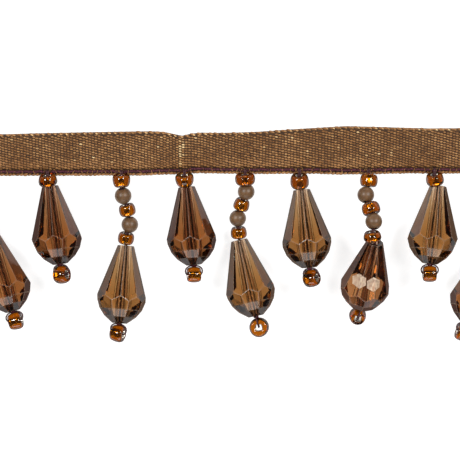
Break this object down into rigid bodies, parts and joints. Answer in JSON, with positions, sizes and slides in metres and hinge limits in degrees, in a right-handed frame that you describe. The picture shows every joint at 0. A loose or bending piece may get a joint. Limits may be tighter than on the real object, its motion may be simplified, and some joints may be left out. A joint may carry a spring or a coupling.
{
  "type": "beaded fringe trim",
  "caption": "Flat length of woven brown tape with a stitched thread line and hanging strings of glass seeds, round beads and faceted acrylic teardrops.",
  "frame": {"origin": "on the underside of the header tape, on its centre line, halfway along it", "axes": "+X along the tape, +Y across the tape away from the drops, +Z off the surface the trim lies on"},
  "size_m": [0.132, 0.05, 0.0116],
  "materials": {
    "tape": "woven twill, matte",
    "thread": "plum thread, slight sheen",
    "seed": "amber glass with a silver-lined hole",
    "round": "taupe, soft satin",
    "teardrop": "clear smoky brown acrylic, polished facets"
  },
  "bodies": {
    "root": {"beading_thread": "thread", "drop_1_end_seed": "seed", "drop_1_round_2": "round", "drop_1_round_4": "round", "drop_1_seed_1": "seed", "drop_1_seed_3": "seed", "drop_1_seed_5": "seed", "drop_1_teardrop": "teardrop", "drop_2_end_seed": "seed", "drop_2_seed_1": "seed", "drop_2_teardrop": "teardrop", "drop_3_end_seed": "seed", "drop_3_round_2": "round", "drop_3_round_4": "round", "drop_3_seed_1": "seed", "drop_3_seed_3": "seed", "drop_3_seed_5": "seed", "drop_3_teardrop": "teardrop", "drop_4_end_seed": "seed", "drop_4_seed_1": "seed", "drop_4_teardrop": "teardrop", "drop_5_end_seed": "seed", "drop_5_round_2": "round", "drop_5_round_4": "round", "drop_5_seed_1": "seed", "drop_5_seed_3": "seed", "drop_5_seed_5": "seed", "drop_5_teardrop": "teardrop", "drop_6_end_seed": "seed", "drop_6_seed_1": "seed", "drop_6_teardrop": "teardrop", "drop_7_end_seed": "seed", "drop_7_round_2": "round", "drop_7_round_4": "round", "drop_7_seed_1": "seed", "drop_7_seed_3": "seed", "drop_7_seed_5": "seed", "drop_7_teardrop": "teardrop", "drop_8_end_seed": "seed", "drop_8_seed_1": "seed", "drop_8_teardrop": "teardrop", "drop_9_end_seed": "seed", "drop_9_round_2": "round", "drop_9_round_4": "round", "drop_9_seed_1": "seed", "drop_9_seed_3": "seed", "drop_9_seed_5": "seed", "drop_9_teardrop": "teardrop", "header_tape": "tape"}
  },
  "joints": []
}
